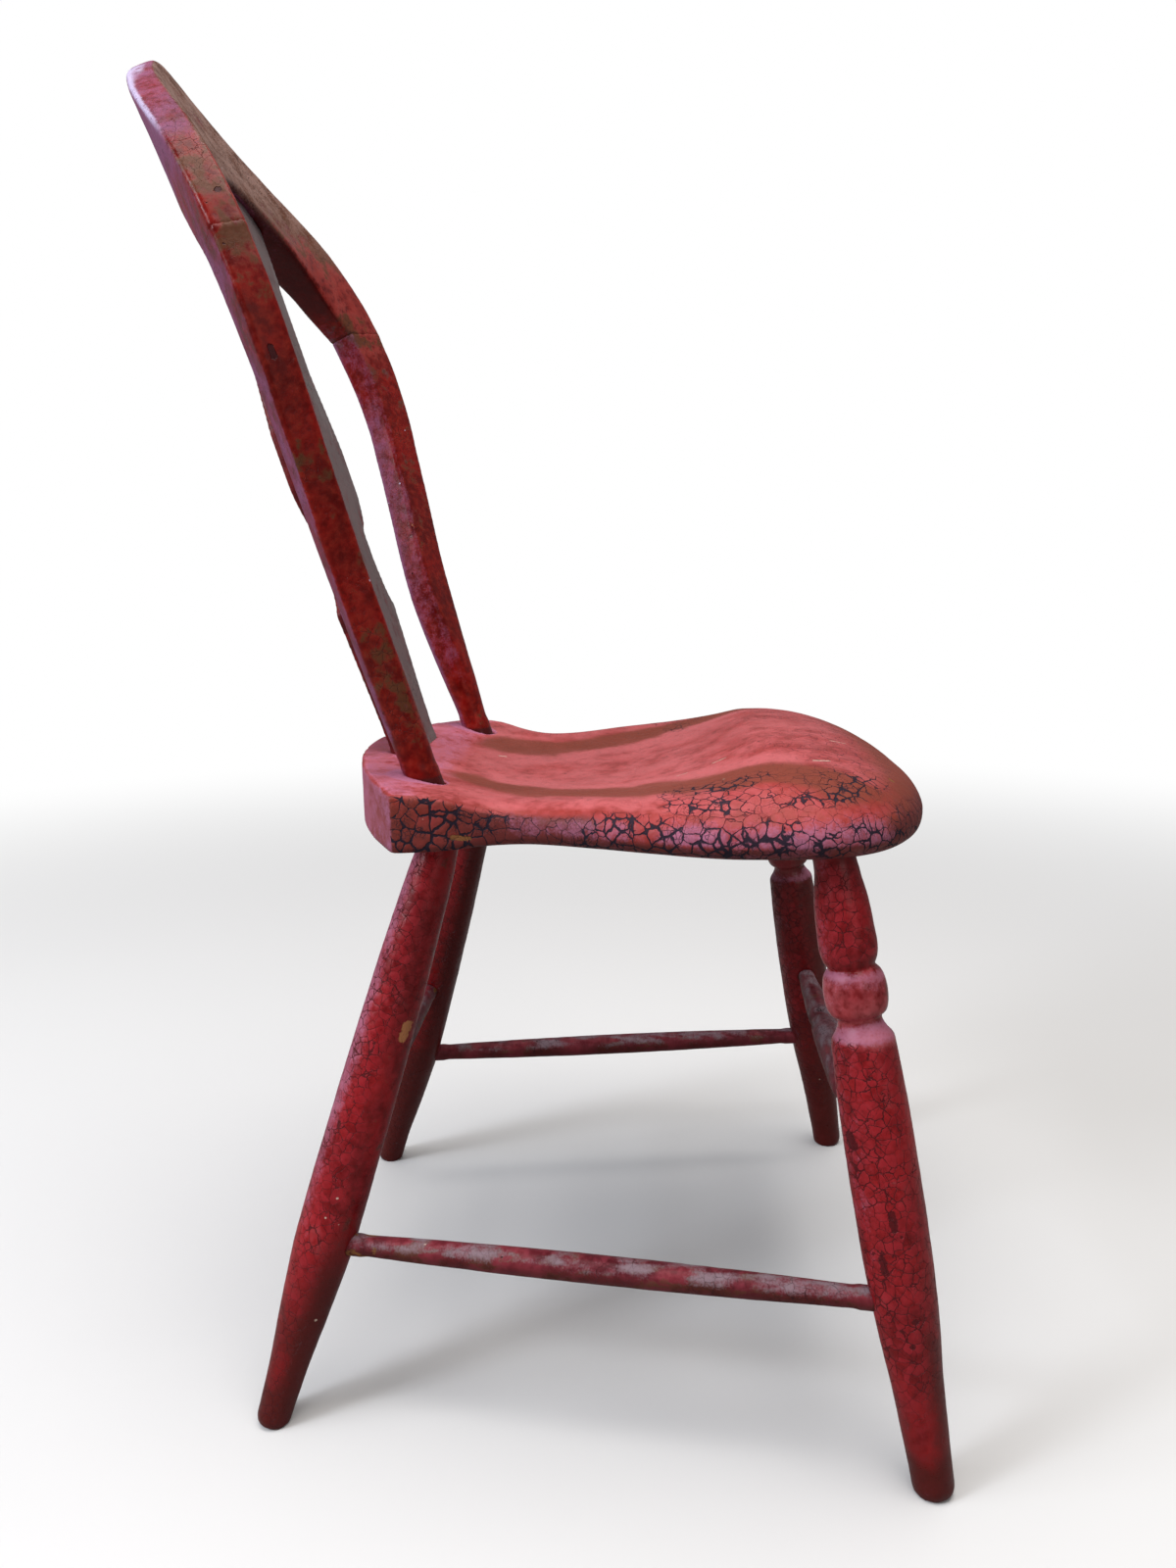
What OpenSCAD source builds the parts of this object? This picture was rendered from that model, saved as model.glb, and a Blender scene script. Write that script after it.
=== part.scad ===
// Plank-seat side chair with a fiddle-shaped splat, all in painted wood.
// The chair faces -Y and stands on its four feet at Z = 0.
// Right and left are the sitter's: right is -X, left is +X.

/* [Seat] */
// Height of the seat top beside the stiles
seat_height = 418; // [400:1:440]
// Thickness of the plank at its rear edge
seat_thick = 41; // [36:1:48]
// Width across the two rear corners
seat_rear_width = 344; // [320:1:370]
// Width at the narrow place just in front of the stiles
seat_waist_width = 322; // [300:1:340]
// Greatest width, over the front legs
seat_front_width = 408; // [380:1:450]
// Depth from the rear corners to the front edge
seat_depth = 328; // [310:1:370]
// How far the rear edge bows out behind its corners
seat_rear_bow = 49; // [30:1:60]
// How far the rolled front stands above the rear of the seat
front_roll_rise = 14; // [6:1:20]
// Depth of the hollow below the rear of the seat
dish_depth = 24; // [12:1:26]
// How far the rolled front and its corners reach back from the front edge
front_roll_depth = 104; // [80:1:120]
// How far the lower edge of the seat is rounded in underneath
lower_round_depth = 30; // [10:1:36]
// How high that rounding rises at the sides and the front
lower_round_height = 12; // [4:0.5:13]

/* [Legs] */
// Distance of a front leg's socket from the side of the seat
front_socket_inset = 41; // [32:1:50]
// Distance of a front leg's socket from the front edge
front_socket_back = 72; // [64:1:90]
// How far a front foot stands outside its socket
front_splay_out = 50; // [30:1:60]
// How far a front foot stands in front of its socket
front_splay_forward = 61; // [40:1:70]
// Distance of a rear leg's socket from the side of the seat
rear_socket_inset = 82; // [70:1:95]
// Distance of a rear leg's socket in front of the rear corners
rear_socket_forward = 17; // [10:1:24]
// How far a rear foot stands outside its socket
rear_splay_out = 82; // [60:1:95]
// How far a rear foot stands behind its socket
rear_splay_back = 112; // [90:1:125]
// Diameter of every leg where it enters the seat
leg_tenon_diameter = 24; // [20:0.5:26]
// Depth of the leg sockets in the seat
leg_tenon_length = 26; // [18:1:28]
// Diameter of the front leg's shaft
front_shaft_diameter = 41; // [34:0.5:44]
// Diameter of the bead on the front leg
front_bead_diameter = 37; // [32:0.5:40]
// Diameter of the vase above the bead
front_vase_diameter = 34; // [30:0.5:38]
// Diameter of the grooves either side of the bead
front_groove_diameter = 25; // [22:0.5:28]
// Diameter of the front foot
front_foot_diameter = 24.5; // [20:0.5:28]
// Greatest diameter of the rear leg
rear_shaft_diameter = 39; // [33:0.5:42]
// Diameter of the rear foot
rear_foot_diameter = 21.5; // [18:0.5:26]

/* [Stretchers] */
// Height of the two side stretchers
side_stretcher_height = 113.5; // [90:0.5:130]
// Height of the front stretcher
front_stretcher_height = 180; // [160:0.5:200]
// Height of the rear stretcher
rear_stretcher_height = 185; // [165:0.5:205]
// Greatest diameter of a side stretcher
side_stretcher_diameter = 17.5; // [15:0.5:20]
// Greatest diameter of the front stretcher
front_stretcher_diameter = 24; // [18:0.5:26]
// Greatest diameter of the rear stretcher
rear_stretcher_diameter = 16; // [14:0.5:20]
// Diameter of every stretcher where it enters a leg
stretcher_tenon_diameter = 13; // [11:0.5:14]
// Length of leg core left between a stretcher's end and the leg's axis
stretcher_tenon_stop = 5; // [3:0.5:8]

/* [Back] */
// Height of the top of the crest rail above the seat
back_height = 449.5; // [400:0.5:480]
// Height of the joint between stile and crest rail above the seat
joint_height = 304; // [270:1:320]
// Radius of the curve that the whole back follows, seen from above
back_radius = 315; // [280:1:400]
// Distance of the back's curve behind the rear corners of the seat, at the seat
back_set = 14; // [6:1:24]
// Backward lean for each millimetre of height
back_lean = 0.345; // [0.25:0.005:0.40]
// Radius of the worn edges of the stiles and the crest rail
back_edge_radius = 3.5; // [2:0.5:6]
// Extra backward curl of the crest rail at its top
crest_curl = 8; // [0:1:14]
// Thickness of the stiles and the crest rail
back_thick = 21; // [18:0.5:26]
// Thickness of the crest rail along its top edge
crest_top_thick = 18; // [12:0.5:21]
// Thickness of the crest rail along its lower edge in the middle
crest_low_thick = 32; // [21:0.5:36]
// Distance along the curve from the middle to a stile's foot
stile_foot_set = 116; // [105:1:125]
// Distance along the curve from the middle to a stile at its widest sweep
stile_bulge_set = 154; // [140:1:165]
// Diameter of a stile's foot where it enters the seat
stile_foot_diameter = 21.5; // [18:0.5:24]
// Width of a stile at half height
stile_width = 33.5; // [28:0.5:40]
// Width of a stile at the joint with the crest rail
stile_joint_width = 41; // [34:0.5:46]
// Height of the crest rail in its middle
crest_depth = 83.5; // [60:0.5:95]
// Depth of the stile sockets in the seat
stile_tenon_length = 24; // [16:1:26]
// Diameter of the dowels in the joints between stile and crest rail
dowel_diameter = 8; // [6:0.5:10]
// Length of those dowels
dowel_length = 36; // [24:1:44]

/* [Splat] */
// Thickness of the splat
splat_thick = 12; // [8:0.5:13]
// How far the middle of the splat's foot stands behind the curve of the back
splat_foot_set = 5.75; // [2:0.25:8]
// How far the splat stands in front of that curve where it enters the crest rail
splat_top_set = 8.5; // [2:0.25:9]
// Width of the splat at its foot
splat_foot_width = 96; // [80:1:100]
// Width of the splat at its lower shoulder
splat_shoulder_width = 125; // [105:1:132]
// Width of the splat at its notch
splat_notch_width = 94; // [80:1:104]
// Width of the splat at its upper bulge
splat_bulge_width = 134; // [110:1:140]
// Width of the splat where it enters the crest rail
splat_top_width = 98; // [70:1:110]
// Depth of the splat in the seat and in the crest rail
splat_tenon_length = 16; // [10:1:20]

/* [Fits] */
// Gap all round each tenon in its socket
fit_gap = 0.15; // [0.1:0.05:0.3]
// Gap left at the blind end of each socket
end_gap = 0.5; // [0.3:0.1:1.5]

/* [Hidden] */
RIGHT = -1;
LEFT = 1;
paint = "#9c2a33";
$fn = 64;

// Places that several pieces share. The origin is on the floor, midway from front to back.
origin_to_front = 255.92;
front_y = -origin_to_front;
corner_y = front_y + seat_depth;
underside = seat_height - seat_thick;
joint_z = seat_height + joint_height;
top_z = seat_height + back_height;
splat_y = corner_y + back_set;

// Smooth curve through [position, value] pairs in rising order of position.
function cubic(a, b, ma, mb, t) =
  let (t2 = t * t, t3 = t2 * t)
  (2 * t3 - 3 * t2 + 1) * a + (t3 - 2 * t2 + t) * ma + (3 * t2 - 2 * t3) * b + (t3 - t2) * mb;
function slope_at(p, i) =
  i == 0 ? (p[1][1] - p[0][1]) / (p[1][0] - p[0][0]) :
  i == len(p) - 1 ? (p[i][1] - p[i - 1][1]) / (p[i][0] - p[i - 1][0]) :
  (p[i + 1][1] - p[i - 1][1]) / (p[i + 1][0] - p[i - 1][0]);
function along(p, x, i = 0) =
  x <= p[0][0] ? p[0][1] :
  x >= p[len(p) - 1][0] ? p[len(p) - 1][1] :
  x > p[i + 1][0] ? along(p, x, i + 1) :
  let (w = p[i + 1][0] - p[i][0], t = (x - p[i][0]) / w)
  cubic(p[i][1], p[i + 1][1], slope_at(p, i) * w, slope_at(p, i + 1) * w, t);
function blend(x, a, b) =
  let (t = max(0, min(1, (x - a) / (b - a))))
  t * t * (3 - 2 * t);

// A closed skin over rings of equal length. Both ends are flat.
module loft(rings) {
  n = len(rings[0]);
  last = len(rings) - 1;
  sides = [for (i = [0:last - 1], j = [0:n - 1])
    let (k = (j + 1) % n, a = i * n + j, b = i * n + k, c = (i + 1) * n + k, d = (i + 1) * n + j)
    each [[a, c, b], [a, d, c]]];
  foot = [[for (j = [0:n - 1]) j]];
  head = [[for (j = [n - 1:-1:0]) last * n + j]];
  polyhedron(points = [for (r = rings) each r], faces = concat(sides, foot, head), convexity = 6);
}

// Places its children with their Z axis running from point a towards point b. They are
// also turned about that axis, so that no seam lies in the plane of the lean.
module aim(a, b) {
  v = b - a;
  translate(a)
    rotate([0, acos(v.z / norm(v)), atan2(v.y, v.x)])
    rotate([0, 0, 37])
    children();
}

// ---- Seat ----
// Shares of the depth, counted from the rear corners, carry the outline and the heights.
roll_start = 1 - front_roll_depth / seat_depth;
rim_drop = [[0, -5], [0.065, -7], [0.12, -10], [0.2, -12], [0.27, -11], [0.385, -7],
  [0.535, -4], [0.64, -2], [0.74, 0], [1, 0]];
crown = [[0, 6], [0.07, 6], [0.15, -1], [0.22, -dish_depth / 3], [0.33, -dish_depth * 0.6],
  [0.45, -dish_depth * 0.55], [0.57, -3], [0.68, front_roll_rise * 0.85],
  [0.76, front_roll_rise], [1, front_roll_rise]];
half_width = [[0, seat_rear_width / 2], [0.05, seat_rear_width / 2 - 2],
  [0.17, seat_waist_width / 2], [0.25, seat_waist_width / 2 + 2],
  [0.56, seat_front_width / 2 - 3], [roll_start, seat_front_width / 2]];
side_radius = [[0, 3], [0.09, 4], [0.2, 26], [0.4, 34], [0.65, 56], [1, 60]];
side_face = [[0, seat_thick - 9], [0.09, seat_thick - 13], [0.2, 15], [0.4, 13], [1, 14]];
// Wood planed off the rough underside, which leaves it one flat face.
plane_off = 0.8;
lower_share = [[0, 0.25], [0.1, 0.3], [0.3, 1], [1, 1]];
SEAT_ROWS = 26;
ROLL_ROWS = 14;
SEAT_COLUMNS = 30;

function quarter(x, k) = x <= 1 - k ? 1 : sqrt(max(0, 1 - pow((x - 1 + k) / k, 2)));
function front_fall(t) = pow(max(0, 1 - pow(max(0, t), 1.9)), 0.6);
// One grid point of the seat: row r from the rear, column u from -1 to 1.
function seat_row(r) =
  r <= SEAT_ROWS
  ? let (f = roll_start * r / SEAT_ROWS)
    [f, along(half_width, f), corner_y - f * seat_depth, corner_y - f * seat_depth
      + seat_rear_bow * pow(1 - r / SEAT_ROWS, 1.5)]
  : let (a = 82 * (r - SEAT_ROWS) / ROLL_ROWS, y0 = front_y + front_roll_depth)
    [roll_start + (1 - roll_start) * sin(a), seat_front_width / 2 * pow(cos(a), 0.77),
      y0 - front_roll_depth * pow(sin(a), 0.8), y0 - front_roll_depth * pow(sin(a), 0.64)];
function seat_point(r, u, top) =
  let (row = seat_row(r), f = row[0], w = row[1], s = abs(sin(90 * u)), x = w * sin(90 * u),
    y = row[3] + (row[2] - row[3]) * s * s,
    t = (front_y + front_roll_depth - y) / front_roll_depth,
    skin = seat_height + along(rim_drop, f) + along(crown, f) * (1 - s * s),
    side = underside + along(side_face, f),
    up = quarter(s, along(side_radius, f) / w) * front_fall(t),
    share = along(lower_share, f),
    low = quarter(s, lower_round_depth * share / w) * pow(max(0, 1 - pow(max(0, t), 6)), 0.45))
  [x, y, top ? side + (skin - side) * up : underside - plane_off + lower_round_height * share * (1 - low)];

module seat_blank() {
  rows = SEAT_ROWS + ROLL_ROWS;
  n = SEAT_COLUMNS + 1;
  half = n * (rows + 1);
  points = [for (top = [true, false], r = [0:rows], j = [0:SEAT_COLUMNS])
    seat_point(r, 2 * j / SEAT_COLUMNS - 1, top)];
  sheet = [for (r = [0:rows - 1], j = [0:SEAT_COLUMNS - 1])
    let (a = r * n + j, b = a + 1, c = a + n + 1, d = a + n)
    each [[a, b, c], [a, c, d]]];
  under = [for (q = sheet) [q[0] + half, q[2] + half, q[1] + half]];
  sides = [for (r = [0:rows - 1], e = [0, 1])
    let (j = e * SEAT_COLUMNS, a = r * n + j, d = a + n)
    each (e == 0
      ? [[a, d, d + half], [a, d + half, a + half]]
      : [[a, d + half, d], [a, a + half, d + half]])];
  ends = [for (r = [0, rows], j = [0:SEAT_COLUMNS - 1])
    let (a = r * n + j, b = a + 1)
    each (r == 0
      ? [[a, b + half, b], [a, a + half, b + half]]
      : [[a, b, b + half], [a, b + half, a + half]])];
  polyhedron(points = points, faces = concat(sheet, under, sides, ends), convexity = 8);
}

module seat() {
  color(paint)
  difference() {
    seat_blank();
    translate([-seat_front_width, -seat_depth * 2, underside - 20])
      cube([seat_front_width * 2, seat_depth * 4, 20]);
    for (side = [RIGHT, LEFT]) {
      leg_socket(front_top(side), front_foot(side));
      leg_socket(rear_top(side), rear_foot(side));
      stile_socket(side);
    }
    splat_slot(splat_foot_width, seat_height - splat_tenon_length - end_gap, 60);
  }
}

// ---- Legs ----
function front_top(side) =
  [side * (seat_front_width / 2 - front_socket_inset), front_y + front_socket_back, underside];
function front_foot(side) =
  [front_top(side).x + side * front_splay_out, front_top(side).y - front_splay_forward, 0];
function rear_top(side) =
  [side * (seat_rear_width / 2 - rear_socket_inset), corner_y - rear_socket_forward, underside];
function rear_foot(side) =
  [rear_top(side).x + side * rear_splay_out, rear_top(side).y + rear_splay_back, 0];
function at_height(top, foot, z) = foot + (top - foot) * z / top.z;

foot_rim = 5;
foot_sink = 1.5;

// The eased end of a foot, as profile points from the axis outwards.
function foot_points(r) = [[0, -foot_sink], [r - foot_rim, -foot_sink],
  [r - 0.3 * foot_rim, 0.3 * foot_rim - foot_sink], [r, foot_rim - foot_sink]];

// Front leg outline: radius against distance from the foot, for a leg of length h.
function front_profile(h) =
  let (g = front_groove_diameter / 2, b = front_bead_diameter / 2, v = front_vase_diameter / 2,
    s = front_shaft_diameter / 2, f = front_foot_diameter / 2, t = leg_tenon_diameter / 2,
    shaft = [[0, f], [20, f + 0.7], [65, f + 3], [105, f + 6.2], [138, s - 0.4], [180, s],
      [205, s], [h - 142, s - 0.6], [h - 112, s - 1.9]],
    vase = [[h - 67, g + 1.2], [h - 64, v - 1.6], [h - 57, v], [h - 46, v - 0.3],
      [h - 29, v - 1.3], [h - 15, t + 1.5], [h - 7, t], [h, t]])
  concat(foot_points(f),
    [for (d = [6:8:h - 114]) [along(shaft, d), d]],
    [[s - 1.9, h - 111], [s - 2.6, h - 108.5], [s - 5, h - 105.5], [g + 0.8, h - 101], [g, h - 97]],
    [for (a = [-66:12:66]) [g + (b - g) * cos(a * 0.98), h - 82.5 + 13.5 * sin(a * 1.25)]],
    [[g, h - 69]],
    [for (d = [h - 67:3:h - 1]) [along(vase, d), d]],
    [[t, h], [t, h + leg_tenon_length], [0, h + leg_tenon_length]]);

// Rear leg outline: a plain turning that swells low down.
function rear_profile(h) =
  let (s = rear_shaft_diameter / 2, f = rear_foot_diameter / 2, t = leg_tenon_diameter / 2,
    shaft = [[0, f], [38, f + 1.8], [70, f + 4.8], [100, s - 1.6], [126, s], [180, s],
      [225, s - 0.3], [h - 98, s - 2], [h - 40, s - 4.3], [h - 20, t + 1.8], [h - 8, t], [h, t]])
  concat(foot_points(f),
    [for (d = [6:10:h - 2]) [along(shaft, d), d]],
    [[t, h], [t, h + leg_tenon_length], [0, h + leg_tenon_length]]);

module leg_socket(top, foot) {
  aim(top, top + (top - foot))
    translate([0, 0, -40])
    cylinder(d = leg_tenon_diameter + 2 * fit_gap, h = 40 + leg_tenon_length + end_gap);
}

// A turned leg, levelled where it meets the floor.
module turned_leg(top, foot, profile) {
  difference() {
    aim(foot, top)
      rotate_extrude()
      polygon(profile);
    translate([foot.x - 50, foot.y - 50, -20])
      cube([100, 100, 20]);
  }
}

module front_leg(side) {
  color(paint)
  difference() {
    turned_leg(front_top(side), front_foot(side),
      front_profile(norm(front_top(side) - front_foot(side))));
    stretcher_socket(side_end(side, true), side_end(side, false));
    stretcher_socket(cross_end(side, true), cross_end(-side, true));
  }
}

module rear_leg(side) {
  color(paint)
  difference() {
    turned_leg(rear_top(side), rear_foot(side),
      rear_profile(norm(rear_top(side) - rear_foot(side))));
    stretcher_socket(side_end(side, false), side_end(side, true));
    stretcher_socket(cross_end(side, false), cross_end(-side, false));
  }
}

// ---- Stretchers ----
// Ends of the stretchers on the axes of the legs.
function side_end(side, front) =
  front ? at_height(front_top(side), front_foot(side), side_stretcher_height)
    : at_height(rear_top(side), rear_foot(side), side_stretcher_height);
function cross_end(side, front) =
  front ? at_height(front_top(side), front_foot(side), front_stretcher_height)
    : at_height(rear_top(side), rear_foot(side), rear_stretcher_height);

module stretcher_socket(a, b) {
  aim(a, b)
    translate([0, 0, stretcher_tenon_stop - end_gap])
    cylinder(d = stretcher_tenon_diameter + 2 * fit_gap, h = 40);
}

// A turned bar between two leg axes. Shape holds [share of the half length, radius] pairs.
module stretcher(a, b, shape) {
  half = norm(b - a) / 2;
  t = stretcher_tenon_diameter / 2;
  bare = 24;
  body = half - bare;
  arm = [for (p = shape) [p[1], half - body * p[0]]];
  arm_back = [for (i = [len(arm) - 1:-1:0]) [arm[i][0], 2 * half - arm[i][1]]];
  color(paint)
  aim(a, b)
    rotate_extrude()
    polygon(concat([[0, stretcher_tenon_stop], [t, stretcher_tenon_stop], [t, bare]], arm,
      arm_back, [[t, 2 * half - bare], [t, 2 * half - stretcher_tenon_stop],
      [0, 2 * half - stretcher_tenon_stop]]));
}

// Plain bars thicken evenly towards the middle.
function plain_bar(d) =
  [for (s = [0.9:-0.1:0.1])
    [s, (d - (d - stretcher_tenon_diameter) * pow(s, 2)) / 2]];

// The front bar has a fat barrel in the middle with a shallow groove at each end.
function barrel_bar(d) =
  let (t = stretcher_tenon_diameter)
  [[0.93, t / 2 + 1.2], [0.8, t / 2 + 2.2], [0.62, d / 2 - 2.2], [0.46, d / 2 - 1.4],
    [0.42, d / 2 - 1.8], [0.39, d / 2 - 2.8], [0.37, d / 2 - 2.6], [0.33, d / 2 - 0.8],
    [0.22, d / 2 - 0.1], [0.1, d / 2]];

// ---- Back ----
// The back follows an upright drum of back_radius that leans backwards as it rises.
// A place on it is the distance a along the curve, the height z, and the distance out
// from the middle of the wood, square to the leaning face.
back_angle = atan(back_lean);
function drum_axis_y(z) =
  splat_y + back_lean * (z - seat_height)
  + crest_curl * pow(max(0, z - joint_z) / (top_z - joint_z), 2) - back_radius;
function on_back(a, z, out) =
  let (turn = a / back_radius * 180 / PI, r = back_radius + out / cos(back_angle))
  [r * sin(turn), drum_axis_y(z) + r * cos(turn), z];
// Slides a point of height z along the lean, onto the plane that is square to the lean
// and has the depth y at that height.
function squared(p, y) =
  p - [0, back_lean, 1] * back_lean * (p.y - y) / (1 + back_lean * back_lean);

// Section in the wood, from point p to point q of the face: a rectangle whose thickness
// goes from d_low at p to d_high at q, with its corners rounded to radius r. The middle of
// the thickness lies forward of the curve by the distance ahead at p, and on it at q. Each
// entry is a place on the back: distance along the curve, height and distance out.
CORNER_STEPS = 4;
function section(p, q, d_low, d_high, r, ahead = 0) =
  let (w = norm(q - p) / 2)
  [for (corner = [0:3], i = [0:CORNER_STEPS])
    let (g = 90 * corner + 90 * i / CORNER_STEPS, e = (corner == 0 || corner == 3) ? 1 : -1,
      m = e * (w - r) + r * cos(g), share = (m / w + 1) / 2,
      half = (d_low + (d_high - d_low) * share) / 2,
      o = (corner < 2 ? 1 : -1) * (half - r) + r * sin(g),
      place = p + (q - p) * share)
    [place[0], place[1], o - ahead * (1 - share)]];

// Middle line and width of a stile against height above the seat.
stile_line = [[0, stile_foot_set], [27, stile_foot_set + 1.5], [62, stile_foot_set + 2.5],
  [103, stile_foot_set + 6], [131, stile_foot_set + 11], [169, stile_foot_set + 21],
  [209, stile_bulge_set - 8], [237, stile_bulge_set - 2], [272, stile_bulge_set],
  [joint_height, stile_bulge_set - 4]];
stile_breadth = [[0, stile_foot_diameter], [27, stile_foot_diameter + 4],
  [62, stile_width - 4], [110, stile_width], [235, stile_width + 1],
  [joint_height, stile_joint_width]];
stile_depth = [[0, stile_foot_diameter], [40, back_thick + 2], [110, back_thick],
  [joint_height, back_thick]];
stile_sink = 4;
function stile_middle(h) = on_back(along(stile_line, h), seat_height + h, 0);
function stile_ring(h, side) =
  let (a = along(stile_line, h), w = along(stile_breadth, h) / 2,
    d = along(stile_depth, h), z = seat_height + h)
  [for (c = section([a - w, z], [a + w, z], d, d, stile_foot_diameter / 2
    + (back_edge_radius - stile_foot_diameter / 2) * blend(h, 10, 110)))
    squared(on_back(side * c[0], z, side * c[2]), stile_middle(h).y)];

// Axis of a stile's foot, from the seat downwards.
function foot_point(side, drop) =
  let (p = stile_middle(0), v = (stile_middle(12) - p) / 12, q = p - v * drop)
  [side * q.x, q.y, q.z];
stile_tenon_diameter = stile_foot_diameter - 0.5;

// The curve of the back widens a foot a little, so its socket has twice the usual gap.
module stile_socket(side) {
  aim(foot_point(side, stile_tenon_length + end_gap), foot_point(side, 0))
    cylinder(d = stile_foot_diameter + 4 * fit_gap, h = 70);
}

// The dowels lean with the wood. Drop is measured along one from the joint downwards.
function dowel_point(side, drop) =
  let (p = stile_middle(joint_height), v = [0, back_lean, 1])
  [side * p.x, p.y, joint_z] - v / norm(v) * drop;

module dowel_pin(side, diameter, length) {
  aim(dowel_point(side, length / 2), dowel_point(side, -length / 2))
    cylinder(d = diameter, h = length);
}

module dowel_hole(side) {
  dowel_pin(side, dowel_diameter + 2 * fit_gap, dowel_length + 2 * end_gap);
}

module stile(side) {
  steps = [for (h = [-stile_sink:stile_sink:36]) h, for (h = [44:10:joint_height - 6]) h,
    joint_height];
  color(paint)
  difference() {
    union() {
      loft([for (h = steps) h < 0
        ? [for (p = stile_ring(0, side)) p + (foot_point(side, -h) - foot_point(side, 0))]
        : stile_ring(h, side)]);
      aim(foot_point(side, stile_tenon_length), foot_point(side, 0))
        cylinder(d = stile_tenon_diameter, h = stile_tenon_length + 2);
    }
    dowel_hole(side);
  }
}

// Outline of the crest rail: distance along the curve against share of the way from the
// joint to the middle, then height above the joint.
rise = top_z - joint_z;
inner_rise = rise - crest_depth;
joint_out = stile_bulge_set - 4 + stile_joint_width / 2;
joint_in = stile_bulge_set - 4 - stile_joint_width / 2;
outer_a = [[0, joint_out], [0.12, joint_out - 6], [0.27, joint_out - 22],
  [0.4, joint_out - 45], [0.6, joint_out - 89], [0.8, joint_out - 131], [1, 0],
  [1.2, 131 - joint_out]];
outer_z = [[0, 0], [0.12, rise * 0.175], [0.27, rise * 0.38], [0.4, rise * 0.535],
  [0.6, rise * 0.735], [0.8, rise * 0.9], [1, rise], [1.2, rise * 0.9]];
inner_a = [[0, joint_in], [0.12, joint_in - 12], [0.3, joint_in - 34], [0.5, joint_in - 62],
  [0.75, joint_in - 95], [1, 0], [1.25, 95 - joint_in]];
inner_z = [[0, 0], [0.12, inner_rise * 0.18], [0.3, inner_rise * 0.44],
  [0.5, inner_rise * 0.69], [0.75, inner_rise * 0.93], [1, inner_rise],
  [1.25, inner_rise * 0.93]];
CREST_STEPS = 24;
function crest_ring(t) =
  let (s = 1 - abs(t), side = t < 0 ? 1 : -1,
    swell = (crest_low_thick - back_thick) * blend(s, 0, 0.6),
    joint_y = stile_middle(joint_height).y)
  [for (c = section([-side * along(inner_a, s), joint_z + along(inner_z, s)],
    [-side * along(outer_a, s), joint_z + along(outer_z, s)], back_thick + swell,
    back_thick + (crest_top_thick - back_thick) * blend(s, 0.3, 1), back_edge_radius, swell / 2))
    let (own_y = on_back(c[0], c[1], 0).y)
    squared(on_back(c[0], c[1], c[2]), joint_y + (own_y - joint_y) * blend(s, 0, 0.3))];

module crest_rail() {
  color(paint)
  difference() {
    loft([for (i = [-CREST_STEPS:CREST_STEPS]) crest_ring(i / CREST_STEPS)]);
    splat_slot(splat_top_width, seat_height + 300,
      splat_top_height() + splat_tenon_length + end_gap - 300);
    for (side = [RIGHT, LEFT]) dowel_hole(side);
  }
}

module dowel(side) {
  color("#a98657")
  dowel_pin(side, dowel_diameter, dowel_length);
}

// ---- Splat ----
splat_foot_y = splat_y + splat_foot_set;
function splat_top_height() = inner_rise + joint_height;
splat_top_y = drum_axis_y(seat_height + splat_top_height()) + back_radius - splat_top_set;
splat_lean = atan((splat_top_y - splat_foot_y) / splat_top_height());

// Lays the splat's own plane into the back: x across, y up the splat from the seat.
module splat_plane() {
  translate([0, splat_foot_y, seat_height])
    rotate([90 - splat_lean, 0, 0])
    children();
}

module splat_slot(width, from_z, rise_z) {
  low = (from_z - seat_height) / cos(splat_lean);
  splat_plane()
    translate([-width / 2 - fit_gap, low, -splat_thick / 2 - fit_gap])
    cube([width + 2 * fit_gap, rise_z / cos(splat_lean), splat_thick + 2 * fit_gap]);
}

// Half width of the splat against height along it.
function splat_half() =
  let (f = splat_foot_width / 2, s = splat_shoulder_width / 2, n = splat_notch_width / 2,
    b = splat_bulge_width / 2, t = splat_top_width / 2, h = splat_top_height() / cos(splat_lean))
  [[0, f], [30, f + 3], [60, f + 8], [90, s - 1.5], [100, s], [105, s - 5], [112, s - 9],
    [126, n + 2], [140, n], [156, n], [160, n + 6], [168, n + 13], [182, b - 1], [200, b],
    [220, b - 1], [238, b - 6], [256, b - 11.5], [276, t + 1], [h - 16, t]];

module splat() {
  h = splat_top_height() / cos(splat_lean);
  tenon = splat_tenon_length / cos(splat_lean);
  heights = [for (y = [0:4:h - 16]) y];
  edge = concat([[splat_foot_width / 2, -tenon]],
    [for (y = heights) [along(splat_half(), y), y]],
    [[splat_top_width / 2, h + tenon]]);
  mirrored = [for (i = [len(edge) - 1:-1:0]) [-edge[i][0], edge[i][1]]];
  color("#8a4a48")
  splat_plane()
    translate([0, 0, -splat_thick / 2])
    linear_extrude(splat_thick)
    polygon(concat(edge, mirrored));
}

module leg_front_right() { front_leg(RIGHT); }
module leg_front_left() { front_leg(LEFT); }
module leg_rear_right() { rear_leg(RIGHT); }
module leg_rear_left() { rear_leg(LEFT); }
module stretcher_front() {
  stretcher(cross_end(RIGHT, true), cross_end(LEFT, true), barrel_bar(front_stretcher_diameter));
}
module stretcher_rear() {
  stretcher(cross_end(RIGHT, false), cross_end(LEFT, false), plain_bar(rear_stretcher_diameter));
}
module stretcher_right() {
  stretcher(side_end(RIGHT, true), side_end(RIGHT, false), plain_bar(side_stretcher_diameter));
}
module stretcher_left() {
  stretcher(side_end(LEFT, true), side_end(LEFT, false), plain_bar(side_stretcher_diameter));
}
module stile_right() { stile(RIGHT); }
module stile_left() { stile(LEFT); }
module dowel_right() { dowel(RIGHT); }
module dowel_left() { dowel(LEFT); }

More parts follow.
